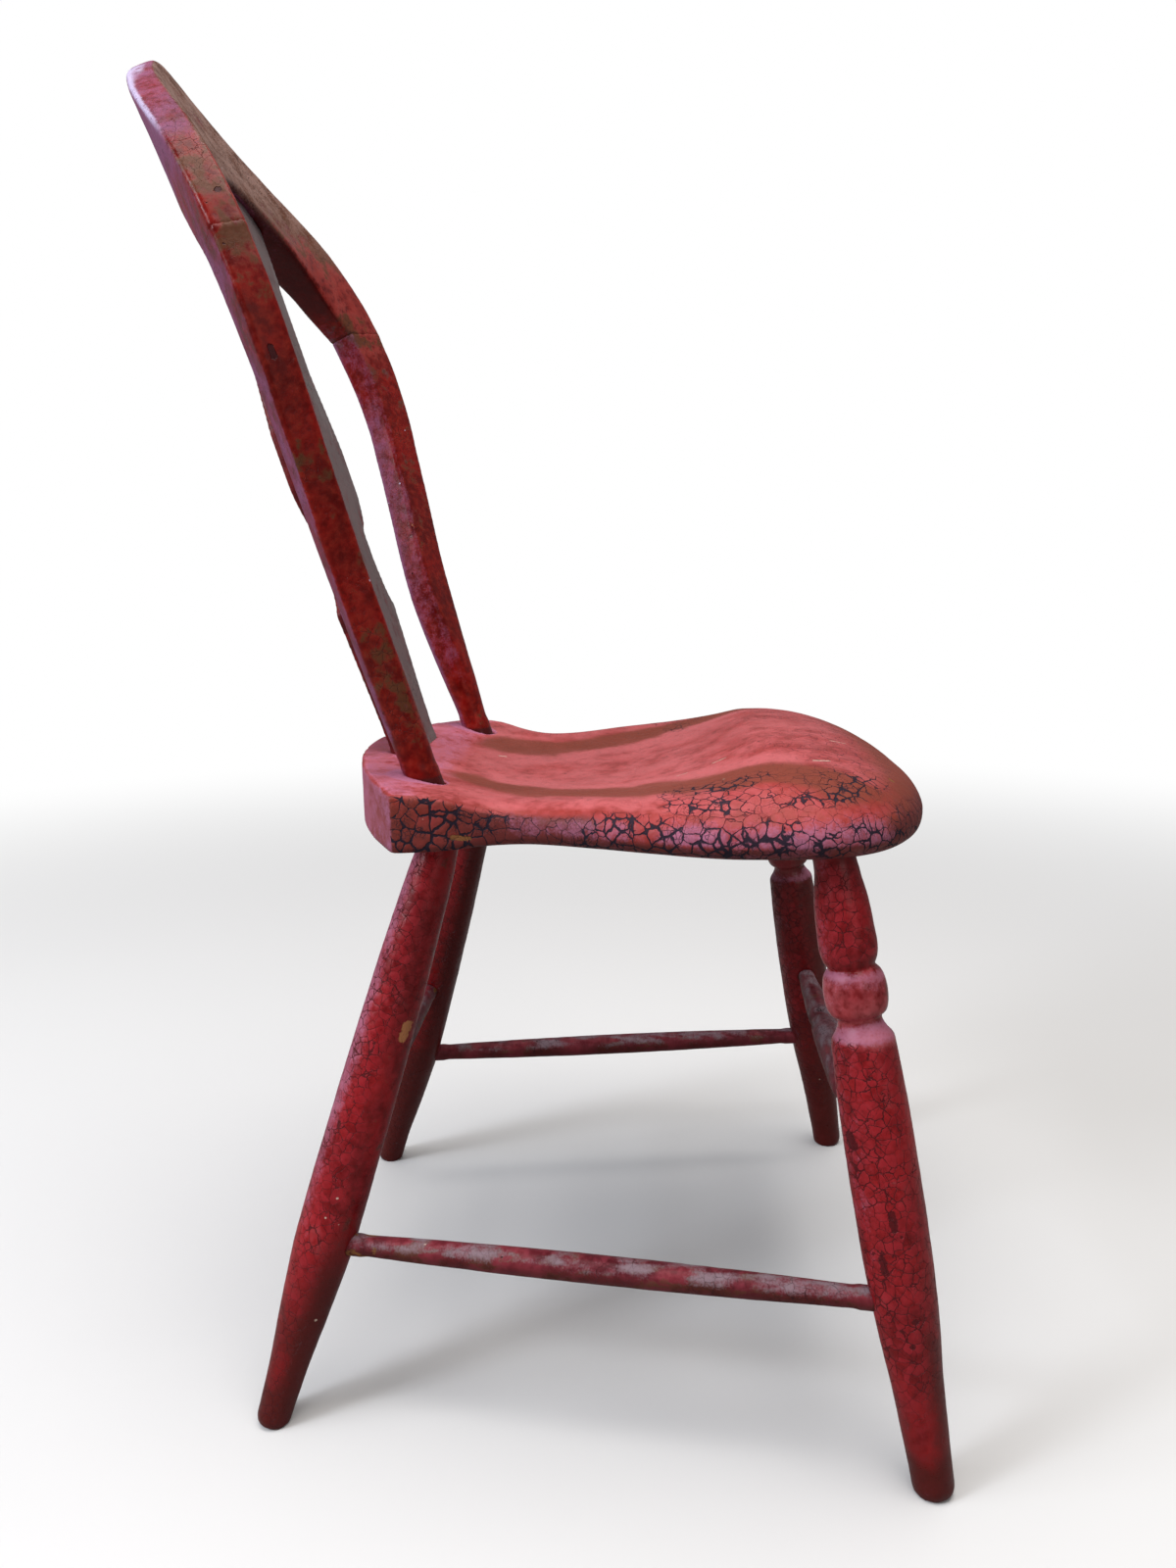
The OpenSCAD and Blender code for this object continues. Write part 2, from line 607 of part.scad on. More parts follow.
seat();
leg_front_right();
leg_front_left();
leg_rear_right();
leg_rear_left();
stretcher_front();
stretcher_rear();
stretcher_right();
stretcher_left();
stile_right();
stile_left();
crest_rail();
splat();
dowel_right();
dowel_left();
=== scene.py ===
"""A plank-seat side chair in old crackled paint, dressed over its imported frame.

Every visible piece is a fine, worn copy of its frame node: the copy is remeshed, its
edges are eased, its faces are dented, and its wear is written to named attributes that
the paint materials read. Lengths are in metres unless a name or a docstring says
millimetres. Where a piece is marked, its points p and its levels x, y and z are in
millimetres.
"""

import logging
from dataclasses import dataclass
from enum import Enum

import bmesh
import bpy
import numpy as np
from mathutils import Matrix, Vector, noise


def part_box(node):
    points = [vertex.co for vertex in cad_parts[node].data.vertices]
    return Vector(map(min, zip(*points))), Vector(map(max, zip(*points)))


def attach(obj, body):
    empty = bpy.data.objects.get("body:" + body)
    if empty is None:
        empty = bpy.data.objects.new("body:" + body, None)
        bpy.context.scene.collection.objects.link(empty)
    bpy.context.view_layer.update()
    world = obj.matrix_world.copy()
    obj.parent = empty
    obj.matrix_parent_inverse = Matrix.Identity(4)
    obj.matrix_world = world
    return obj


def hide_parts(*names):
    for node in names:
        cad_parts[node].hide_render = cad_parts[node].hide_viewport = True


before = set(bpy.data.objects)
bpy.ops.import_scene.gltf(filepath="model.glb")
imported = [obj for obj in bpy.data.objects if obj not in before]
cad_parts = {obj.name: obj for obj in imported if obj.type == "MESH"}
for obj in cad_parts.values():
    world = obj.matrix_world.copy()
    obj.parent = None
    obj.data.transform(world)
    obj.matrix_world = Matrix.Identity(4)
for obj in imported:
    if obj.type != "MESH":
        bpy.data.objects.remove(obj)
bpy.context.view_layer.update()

BODY = "root"
MM = 0.001
LOG = logging.getLogger("chair")

# Sizes of the noise that breaks up the paint, from the largest patches to its grain.
BROAD = 0.045
MIDDLE = 0.014
FINE = 0.005
RAGGED = 0.0022
GRIT = 0.0013
NOISE_ROUGHNESS = 0.55

Colour = tuple[float, float, float]
Point = tuple[float, float, float]
Array = np.ndarray


class Side(Enum):
    """The sitter's right and left, as signs of X."""

    RIGHT = -1
    LEFT = 1

    @property
    def word(self) -> str:
        """The side's name as the frame nodes spell it."""
        return self.name.lower()


class Facing(Enum):
    """Which way a marked face looks, as how much of each axis a mark's outline counts."""

    SIDE = (0.2, 1.0, 1.0)
    TOP = (1.0, 1.0, 0.15)


# ---- Soft steps and noise on arrays ----


def ease(value: Array, low: float, high: float) -> Array:
    """Rises smoothly from 0 at low to 1 at high.

    Args:
        value: Numbers to map.
        low: The value that gives 0.
        high: The value that gives 1, which may be below low.

    Returns:
        The eased shares, between 0 and 1.
    """
    t = np.clip((value - low) / (high - low), 0.0, 1.0)
    return t * t * (3.0 - 2.0 * t)


def band(value: Array, centre: Array | float, half: float, soft: float) -> Array:
    """A plateau of 1 within half of centre that fades out over soft."""
    return 1.0 - ease(np.abs(value - centre), half, half + soft)


def cloud(points_mm: Array, size_mm: float, seed: float, stretch: Point = (1, 1, 1)) -> Array:
    """Smooth fractal noise at each point.

    Args:
        points_mm: Points, in millimetres.
        size_mm: Size of the largest lumps.
        seed: Where in the noise the pattern starts.
        stretch: How many times longer the lumps are along each axis.

    Returns:
        Values between about -1 and 1.
    """
    scaled = points_mm / (size_mm * np.array(stretch)) + seed
    return np.array([noise.fractal(Vector(p), 0.8, 2.1, 3) for p in scaled])


# ---- Fine skins over the frame nodes ----


class Skin:
    """A fine closed copy of a frame node that can be eased, dented and marked."""

    MERGE = 2e-6
    SHARP = (0.006, 0.03)
    END_ZONE_MM = (4.0, 0.5)
    MOUTH_SEARCH_MM = 9.0
    MOUTH_HEIGHT_MM = 8.0
    MOUTH_FACE_MM = 4.0
    MOUTH_RIM_MM = 5.0
    MOUTH_DEPTH_MM = 3.5
    MOUTH_PULL_MM = 1.7
    MOUTH_LIFT = 0.35

    def __init__(self, node: str, voxel: float) -> None:
        """Copies and remeshes a node.

        Args:
            node: Name of the frame node.
            voxel: Edge length of the new mesh.
        """
        self.node = node
        self.voxel = voxel
        self.low, self.high = (np.array(c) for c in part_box(node))
        self.piece = self._remeshed(node, voxel)
        mesh = self.piece.data
        count = len(mesh.vertices)
        self.points = np.empty(count * 3)
        mesh.vertices.foreach_get("co", self.points)
        self.points = self.points.reshape(-1, 3)
        edges = np.empty(len(mesh.edges) * 2, np.int64)
        mesh.edges.foreach_get("vertices", edges)
        self.ends = edges.reshape(-1, 2)
        self.degree = np.maximum(np.bincount(edges, minlength=count), 1)
        self.normals = self._normals()

    @staticmethod
    def _remeshed(node: str, voxel: float) -> bpy.types.Object:
        """Makes a closed quad mesh from a merged copy of a node's triangles."""
        shape = bmesh.new()
        shape.from_mesh(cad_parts[node].data)
        bmesh.ops.remove_doubles(shape, verts=shape.verts, dist=Skin.MERGE)
        bmesh.ops.recalc_face_normals(shape, faces=shape.faces)
        mesh = bpy.data.meshes.new(node + "_rough")
        shape.to_mesh(mesh)
        shape.free()
        piece = bpy.data.objects.new(node + "_painted", mesh)
        bpy.context.scene.collection.objects.link(piece)
        remesh = piece.modifiers.new("fine", "REMESH")
        remesh.mode = "VOXEL"
        remesh.voxel_size = voxel
        graph = bpy.context.evaluated_depsgraph_get()
        dense = bpy.data.meshes.new_from_object(piece.evaluated_get(graph))
        piece.modifiers.clear()
        piece.data = dense
        Skin._drop_specks(dense)
        return piece

    @staticmethod
    def _drop_specks(mesh: bpy.types.Mesh) -> None:
        """Removes the loose bubbles that remeshing can leave, and keeps the largest part."""
        edges = np.empty(len(mesh.edges) * 2, np.int64)
        mesh.edges.foreach_get("vertices", edges)
        a, b = edges.reshape(-1, 2).T
        part = np.arange(len(mesh.vertices))
        while True:
            lower = part.copy()
            np.minimum.at(lower, a, part[b])
            np.minimum.at(lower, b, part[a])
            lower = lower[lower]
            if (lower == part).all():
                break
            part = lower
        loose = np.flatnonzero(part != np.bincount(part).argmax())
        if not len(loose):
            return
        shape = bmesh.new()
        shape.from_mesh(mesh)
        shape.verts.ensure_lookup_table()
        bmesh.ops.delete(shape, geom=[shape.verts[i] for i in loose], context="VERTS")
        shape.to_mesh(mesh)
        shape.free()

    def _normals(self) -> Array:
        """Vertex normals of the mesh as it now stands."""
        mesh = self.piece.data
        mesh.vertices.foreach_set("co", self.points.ravel())
        mesh.update()
        normals = np.empty(len(mesh.vertices) * 3)
        mesh.vertices.foreach_get("normal", normals)
        return normals.reshape(-1, 3)

    def spread(self, values: Array) -> Array:
        """The mean of each vertex's neighbours.

        Args:
            values: One row or number for each vertex.

        Returns:
            Means in the same shape.
        """
        a, b = self.ends.T
        count = len(self.points)
        columns = values.reshape(count, -1).T
        sums = [
            np.bincount(a, c[b], count) + np.bincount(b, c[a], count) for c in columns
        ]
        return (np.array(sums) / self.degree).T.reshape(values.shape)

    def settle(self, passes: int, edge_passes: int = 3) -> None:
        """Smooths the faces well and the sharp edges only a little.

        Args:
            passes: Smoothing passes over faces.
            edge_passes: Passes that the sharp edges also get.
        """
        for _ in range(edge_passes):
            self.points += 0.5 * (self.spread(self.points) - self.points)
        self.normals = self._normals()
        mean = self.spread(self.spread(self.normals))
        sharp = ease(1.0 - np.linalg.norm(mean, axis=1), *self.SHARP)
        for _ in range(3):
            sharp = np.maximum(sharp, self.spread(sharp))
        hold = (0.5 * (1.0 - sharp))[:, None]
        for _ in range(passes):
            self.points += hold * (self.spread(self.points) - self.points)
        self.normals = self._normals()

    def dent(self, depth_mm: Array) -> None:
        """Moves the surface inwards by a depth at each vertex."""
        self.points -= self.normals * (depth_mm * MM)[:, None]
        self.normals = self._normals()

    def reach_past(self, axis: Vector, by_mm: float, where: Array) -> None:
        """Pushes the skin's end a little way into its neighbour, so that the joint closes.

        Args:
            axis: The direction out of the end.
            by_mm: How far the end moves.
            where: A share for each vertex that says where this holds.
        """
        along = self.points @ np.array(axis.normalized())
        top = along[where > 0.5].max()
        share = ease(along, *(top - back * MM for back in self.END_ZONE_MM)) * where
        self.points += np.outer(share * by_mm * MM, axis.normalized())
        self.low = np.minimum(self.low, self.points.min(0))
        self.high = np.maximum(self.high, self.points.max(0))
        self.normals = self._normals()

    def close_mouth(self, foot_mm: Point, axis: Vector, radius_mm: float) -> None:
        """Draws the rounded rim of a socket in, level with the face, to meet what stands in it.

        Args:
            foot_mm: Where the socket's axis meets the face.
            axis: The socket's direction.
            radius_mm: The radius of the piece in the socket.
        """
        unit = np.array(axis.normalized())
        offset = self.points / MM - np.array(foot_mm)
        out = offset - np.outer(offset @ unit, unit)
        away = np.linalg.norm(out, axis=1)
        near = away < radius_mm + self.MOUTH_SEARCH_MM
        near &= np.abs(offset[:, 2]) < self.MOUTH_HEIGHT_MM
        face = near & (away > radius_mm + self.MOUTH_FACE_MM) & (self.normals[:, 2] > 0.9)
        if not face.any():
            return
        flat = np.c_[offset[face][:, :2], np.ones(face.sum())]
        plane = np.linalg.lstsq(flat, offset[face][:, 2], rcond=None)[0]
        level = offset[:, 0] * plane[0] + offset[:, 1] * plane[1] + plane[2]
        rim = near & (away > radius_mm - 1) & (away < radius_mm + self.MOUTH_RIM_MM)
        rim &= offset[:, 2] > level - self.MOUTH_DEPTH_MM
        inwards = ease(away, radius_mm + self.MOUTH_RIM_MM, radius_mm + 0.5) * self.MOUTH_PULL_MM
        pull = out / np.maximum(away, 0.1)[:, None] * inwards[:, None]
        self.points[rim] -= pull[rim] * MM
        lift = np.clip(level - offset[:, 2], 0, 2) * inwards * MM * self.MOUTH_LIFT
        self.points[rim, 2] += lift[rim]
        self.normals = self._normals()

    def arris(self, gain: float = 6.0) -> Array:
        """How far each vertex lies on an outer edge, between 0 and 1."""
        lift = ((self.points - self.spread(self.points)) * self.normals).sum(1)
        lift = self.spread(self.spread(lift)) / self.voxel
        return np.clip(lift * gain, 0.0, 1.0)

    def mark(self, **shares: Array) -> None:
        """Stores shares for each vertex, under the names that the paint reads.

        Args:
            shares: For each kind of wear, how strongly it shows at each vertex.
        """
        for name, values in shares.items():
            data = self.piece.data.attributes.new(name, "FLOAT", "POINT").data
            data.foreach_set("value", np.clip(values, 0.0, 1.0).astype(np.float32))

    def finish(self, material: bpy.types.Material) -> None:
        """Closes the work on the piece and puts it in its node's place.

        Args:
            material: The paint.
        """
        self.points = np.clip(self.points, self.low, self.high)
        self._normals()
        mesh = self.piece.data
        mesh.shade_smooth()
        mesh.materials.clear()
        mesh.materials.append(material)
        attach(self.piece, BODY)
        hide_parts(self.node)
        LOG.info("%s: %d faces", self.piece.name, len(mesh.polygons))


# ---- Paint ----


class Graph:
    """A short way to write a material's nodes."""

    def __init__(self, name: str) -> None:
        """Makes an empty material with object coordinates ready to read."""
        self.material = bpy.data.materials.new(name)
        self.material.use_nodes = True
        self.tree = self.material.node_tree
        self.tree.nodes.clear()
        self.place = self.node("ShaderNodeTexCoord").outputs["Object"]

    def node(self, kind: str, **settings: object) -> bpy.types.Node:
        """Adds a node and sets its properties."""
        made = self.tree.nodes.new(kind)
        for key, value in settings.items():
            setattr(made, key, value)
        return made

    def feed(self, socket: bpy.types.NodeSocket, value: object) -> None:
        """Links a socket to another, or writes a plain value or colour to it."""
        if isinstance(value, bpy.types.NodeSocket):
            self.tree.links.new(value, socket)
        elif isinstance(value, tuple) and len(value) == 3 and socket.type == "RGBA":
            socket.default_value = (*value, 1.0)
        else:
            socket.default_value = value

    def calc(self, operation: str, a: object, b: object = 0.0, clamp: bool = False) -> object:
        """One Math node's result."""
        made = self.node("ShaderNodeMath", operation=operation, use_clamp=clamp)
        self.feed(made.inputs[0], a)
        self.feed(made.inputs[1], b)
        return made.outputs[0]

    def times(self, *values: object) -> object:
        """The product of all the values."""
        result = values[0]
        for value in values[1:]:
            result = self.calc("MULTIPLY", result, value)
        return result

    def mix(self, share: object, a: object, b: object) -> object:
        """A colour between a and b."""
        made = self.node("ShaderNodeMix", data_type="RGBA")
        self.feed(made.inputs[0], share)
        self.feed(made.inputs[6], a)
        self.feed(made.inputs[7], b)
        return made.outputs[2]

    def step(self, value: object, low: object, high: object, to: tuple = (0.0, 1.0)) -> object:
        """Maps a value smoothly from low and high to the two numbers in to."""
        made = self.node("ShaderNodeMapRange", interpolation_type="SMOOTHSTEP")
        for socket, given in zip(made.inputs, (value, low, high, *to)):
            self.feed(socket, given)
        return made.outputs[0]

    def mapped(self, stretch: Colour) -> object:
        """Object coordinates multiplied by a factor along each axis."""
        made = self.node("ShaderNodeMapping")
        self.feed(made.inputs["Vector"], self.place)
        made.inputs["Scale"].default_value = stretch
        return made.outputs[0]

    def noise(self, size: float, detail: float = 3.0, at: object = None) -> object:
        """Noise with lumps of a size, between 0 and 1."""
        made = self.node("ShaderNodeTexNoise")
        self.feed(made.inputs["Vector"], at or self.place)
        made.inputs["Scale"].default_value = 1.0 / size
        made.inputs["Detail"].default_value = detail
        made.inputs["Roughness"].default_value = NOISE_ROUGHNESS
        return made.outputs["Fac"]

    def warped(self, size: float, reach: float, at: object = None) -> object:
        """Coordinates pushed about by colour noise, so that straight lines wander."""
        cloud_node = self.node("ShaderNodeTexNoise")
        self.feed(cloud_node.inputs["Vector"], at or self.place)
        cloud_node.inputs["Scale"].default_value = 1.0 / size
        cloud_node.inputs["Detail"].default_value = 2.0
        shift = self.node("ShaderNodeVectorMath", operation="MULTIPLY_ADD")
        self.feed(shift.inputs[0], cloud_node.outputs["Color"])
        shift.inputs[1].default_value = (2 * reach,) * 3
        self.feed(shift.inputs[2], at or self.place)
        return shift.outputs[0]

    def cells(self, size: float, at: object, feature: str = "DISTANCE_TO_EDGE") -> bpy.types.Node:
        """A Voronoi node with cells of a size."""
        made = self.node("ShaderNodeTexVoronoi", feature=feature)
        self.feed(made.inputs["Vector"], at)
        made.inputs["Scale"].default_value = 1.0 / size
        return made

    def surface(self, shader: bpy.types.Node) -> bpy.types.Material:
        """Ends the material with a shader and returns it."""
        self.feed(self.node("ShaderNodeOutputMaterial").inputs["Surface"], shader.outputs[0])
        return self.material

    def share(self, name: str) -> object:
        """A share that the piece carries under a name."""
        return self.node("ShaderNodeAttribute", attribute_name=name).outputs["Fac"]

    def vary(self, value: object, texture: object, reach: float) -> object:
        """A value pushed up and down by a texture whose middle is a half."""
        return self.calc("ADD", value, self.times(self.calc("SUBTRACT", texture, 0.5), reach))

    def marks(self, marks: tuple["Mark", ...], rough: object) -> object:
        """How far inside the nearest of some marks each point lies.

        Args:
            marks: The marks, each a stroke with two ends and a half width.
            rough: A texture that breaks up the outlines.

        Returns:
            A share, 1 inside a mark and 0 outside all of them.
        """
        nearest = 9.0
        facings = dict.fromkeys(mark.facing for mark in marks)
        squeezed = {facing: self.mapped(facing.value) for facing in facings}
        for mark in marks:
            ends = (mark.start, mark.end or mark.start)
            start, end = (Vector(e) * Vector(mark.facing.value) * MM for e in ends)
            along = end - start
            offset = self.node("ShaderNodeVectorMath", operation="SUBTRACT")
            self.feed(offset.inputs[0], squeezed[mark.facing])
            offset.inputs[1].default_value = start
            inner = offset.outputs[0]
            if along.length > 0:
                dot = self.node("ShaderNodeVectorMath", operation="DOT_PRODUCT")
                self.feed(dot.inputs[0], inner)
                dot.inputs[1].default_value = along / along.length_squared
                part = self.calc("MULTIPLY", dot.outputs["Value"], 1.0, clamp=True)
                foot = self.node("ShaderNodeVectorMath", operation="SCALE")
                foot.inputs[0].default_value = along
                self.feed(foot.inputs["Scale"], part)
                rest = self.node("ShaderNodeVectorMath", operation="SUBTRACT")
                self.feed(rest.inputs[0], inner)
                self.feed(rest.inputs[1], foot.outputs[0])
                inner = rest.outputs[0]
            length = self.node("ShaderNodeVectorMath", operation="LENGTH")
            self.feed(length.inputs[0], inner)
            away = self.times(length.outputs["Value"], 1.0 / (mark.half_width * MM))
            nearest = self.calc("MINIMUM", nearest, away)
        return self.step(self.vary(nearest, rough, 1.5), 0.85, 1.15, (1.0, 0.0))


@dataclass(frozen=True)
class Mark:
    """One mark on the paint: a spot, or a stroke where it has an end. In millimetres."""

    start: Point
    half_width: float
    end: Point | None = None
    facing: Facing = Facing.SIDE


@dataclass(frozen=True)
class Paint:
    """Old paint: its colours, the size of its crackle, its gloss and its single marks."""

    name: str
    red: Colour = (0.29, 0.007, 0.009)
    deep: Colour = (0.13, 0.002, 0.003)
    tint: Colour = (0.36, 0.018, 0.026)
    rubbed: Colour = (0.50, 0.105, 0.115)
    grime: Colour = (0.105, 0.040, 0.018)
    dust: Colour = (0.42, 0.15, 0.23)
    soot: Colour = (0.070, 0.006, 0.004)
    crack: Colour = (0.016, 0.008, 0.018)
    bare: Colour = (0.34, 0.135, 0.045)
    fleck_and_highlight: Colour = (0.62, 0.48, 0.38)
    ash: Colour = (0.32, 0.19, 0.155)
    cell: float = 0.010
    crack_width: float = 0.10
    specular: float = 0.22
    gloss: float = 0.36
    relief: float = 0.0007
    mottle: float = 0.45
    patchy: float = 1.0
    grime_and_shade_edge: tuple[float, float] = (0.36, 0.66)
    chips: tuple[Mark, ...] = ()
    pits: tuple[Mark, ...] = ()
    scratches: tuple[Mark, ...] = ()

    def made(self) -> bpy.types.Material:
        """Builds the material.

        Returns:
            A material that reads the shares crackle, wear, grime, soot, ash, dust, chip, gleam and
            polish. The grime and soot shares also hold painted shade, the dust share painted sheen
            and the gleam share a painted highlight. One that a skin doesn't mark counts as zero.
        """
        g = Graph(self.name)
        crackle, wear, grime, soot = (g.share(n) for n in ("crackle", "wear", "grime", "soot"))
        dust, chip = g.share("dust"), g.share("chip")
        broad, middle, fine = g.noise(BROAD), g.noise(MIDDLE, 4.0), g.noise(FINE, 4.0)
        grit = g.noise(GRIT, 2.0)

        cracks, plates, tone = self._crackle(g, crackle)
        colour = g.mix(g.step(g.vary(broad, middle, 0.7), 0.35, 0.68), self.deep, self.red)
        colour = g.mix(g.times(g.step(fine, 0.40, 0.75), 0.55), colour, self.tint)
        colour = g.mix(g.times(tone, 0.60), colour, self.tint)
        rub = g.step(g.vary(g.vary(wear, middle, 0.7 * self.patchy), fine, 0.4), 0.15, 0.95)
        colour = g.mix(rub, colour, self.rubbed)
        spots = g.step(fine, 0.30, 0.50, (1.0, 0.0))
        colour = g.mix(g.times(spots, self.mottle), colour, self.deep)
        # Browns the paint: real dirt, and on the legs also painted shade on faces turned from the
        # lamps.
        dirty = g.vary(g.vary(grime, middle, 1.3 * self.patchy), fine, self.patchy)
        dirty = g.step(dirty, *self.grime_and_shade_edge)
        colour = g.mix(g.times(dirty, 0.85), colour, self.grime)
        # Darkens the paint: real dirt at the feet, and painted shade on faces turned from the
        # lamps, on the far legs, under the crest and on the seat's lower sides.
        dark = g.step(g.vary(g.vary(soot, middle, 0.7), fine, 0.5), 0.20, 0.80)
        colour = g.mix(g.times(dark, 0.9), colour, self.soot)
        worn = g.times(g.share("ash"), g.step(g.vary(middle, grit, 0.9), 0.30, 0.62))
        colour = g.mix(worn, colour, self.ash)
        # A lilac film, grey on the splat: settled dirt, and painted sheen of the cool window light
        # on faces turned to it.
        veil = g.step(g.vary(g.vary(g.vary(dust, middle, 0.6), fine, 0.5), grit, 0.6), 0.15, 0.85)
        colour = g.mix(g.times(veil, 0.85), colour, self.dust)
        colour = g.mix(g.times(cracks, 0.97), colour, self.crack)

        lost = g.step(g.vary(chip, fine, 0.7), 0.46, 0.54)
        ragged = g.noise(RAGGED, 3.0)
        lost = g.calc("MAXIMUM", lost, g.marks(self.chips, ragged)) if self.chips else lost
        grain = g.noise(0.004, 3.0, g.mapped((1, 1, 0.15)))
        wood = g.mix(grain, self.bare, tuple(c * 0.45 for c in self.bare))
        colour = g.mix(lost, colour, wood)
        pale, pits = self._specks(g)
        pale = g.calc("MAXIMUM", pale, g.marks(self.scratches, ragged)) if self.scratches else pale
        # Adds the painted highlight along the crest's rear arris in the pale colour.
        pale = g.calc("MAXIMUM", pale, g.times(g.share("gleam"), g.step(fine, 0.25, 0.45)))
        pits = g.calc("MAXIMUM", pits, g.marks(self.pits, ragged)) if self.pits else pits
        # The pale colour serves real flecks and scratches and the painted highlight.
        colour = g.mix(g.times(pale, 0.8), colour, self.fleck_and_highlight)
        colour = g.mix(g.times(pits, 0.92), colour, self.crack)

        bsdf = g.node("ShaderNodeBsdfPrincipled")
        bsdf.inputs["Specular IOR Level"].default_value = self.specular
        g.feed(bsdf.inputs["Base Color"], colour)
        rough = g.step(fine, 0.2, 0.8, (self.gloss - 0.07, self.gloss + 0.12))
        matt = g.calc("MAXIMUM", g.calc("MAXIMUM", veil, cracks), lost)
        rough = g.calc("ADD", rough, g.times(matt, 0.30))
        rough = g.calc("SUBTRACT", rough, g.times(g.share("polish"), 0.20))
        g.feed(bsdf.inputs["Roughness"], g.calc("ADD", rough, g.times(dirty, 0.12), clamp=True))

        height = g.calc("SUBTRACT", g.times(plates, 0.35), g.times(cracks, 0.8))
        for texture, reach in ((middle, 0.20), (fine, 0.32), (grit, 0.05)):
            height = g.calc("ADD", height, g.times(texture, reach))
        for hollow, depth in ((lost, 0.7), (pits, 0.8)):
            height = g.calc("SUBTRACT", height, g.times(hollow, depth))
        bump = g.node("ShaderNodeBump")
        bump.inputs["Strength"].default_value = 1.0
        bump.inputs["Distance"].default_value = self.relief
        g.feed(bump.inputs["Height"], height)
        g.feed(bsdf.inputs["Normal"], bump.outputs[0])
        return g.surface(bsdf)

    def _crackle(self, g: Graph, crackle: object) -> tuple[object, object, object]:
        """Builds the crackle: rounded plates of two sizes with open joints between them.

        Args:
            g: The material's graph.
            crackle: How strongly the paint has cracked.

        Returns:
            The cracks, the doming of the plates, and the plates' own shift in tone.
        """
        wander = g.warped(self.cell * 0.9, self.cell * 0.26)
        wander = g.warped(self.cell * 0.22, self.cell * 0.05, wander)
        edge = g.cells(self.cell, wander).outputs["Distance"]
        centre = g.cells(self.cell, wander, "F1")
        corner = g.step(centre.outputs["Distance"], 0.25, 0.85, (0.45, 1.5))
        uneven = g.step(g.noise(self.cell * 2.4), 0.32, 0.68, (0.15, 1.4))
        width = g.times(corner, uneven, crackle, self.crack_width)
        wide = g.step(edge, g.times(width, 0.55), g.calc("ADD", width, 0.012), (1.0, 0.0))
        second = g.cells(self.cell * 0.47, wander).outputs["Distance"]
        some = g.step(g.noise(self.cell * 1.9), 0.47, 0.60)
        thin = g.step(second, g.times(width, 0.4), g.times(width, 1.0), (0.8, 0.0))
        open_paint = g.step(crackle, 0.06, 0.30)
        cracks = g.times(g.calc("MAXIMUM", wide, g.times(thin, some)), open_paint)
        plates = g.times(g.step(edge, 0.0, 0.35), open_paint, crackle)
        hue = g.node("ShaderNodeSeparateColor")
        g.feed(hue.inputs[0], centre.outputs["Color"])
        return cracks, plates, g.times(hue.outputs[0], open_paint)

    @staticmethod
    def _specks(g: Graph) -> tuple[object, object]:
        """Scatters small pale flecks and dark pits.

        Args:
            g: The material's graph.

        Returns:
            The shares of the flecks and of the pits.
        """
        spots = g.cells(0.011, g.warped(0.003, 0.0012), "F1")
        hue = g.node("ShaderNodeSeparateColor")
        g.feed(hue.inputs[0], spots.outputs["Color"])
        near = g.step(spots.outputs["Distance"], 0.045, 0.085, (1.0, 0.0))
        flecks = g.times(near, g.step(hue.outputs[1], 0.945, 0.95))
        return flecks, g.times(near, g.step(hue.outputs[2], 0.90, 0.91))


@dataclass(frozen=True)
class BareWood:
    """Plain turned hardwood, as on the hidden dowels."""

    name: str = "bare_hardwood"
    light: Colour = (0.42, 0.27, 0.13)
    dark: Colour = (0.25, 0.14, 0.06)

    def made(self) -> bpy.types.Material:
        """Builds the material."""
        g = Graph(self.name)
        grain = g.noise(0.003, 4.0, g.mapped((1, 1, 0.08)))
        bsdf = g.node("ShaderNodeBsdfPrincipled")
        g.feed(bsdf.inputs["Base Color"], g.mix(g.step(grain, 0.3, 0.7), self.dark, self.light))
        g.feed(bsdf.inputs["Roughness"], g.step(grain, 0.0, 1.0, (0.5, 0.75)))
        return g.surface(bsdf)


# ---- The chair's pieces ----


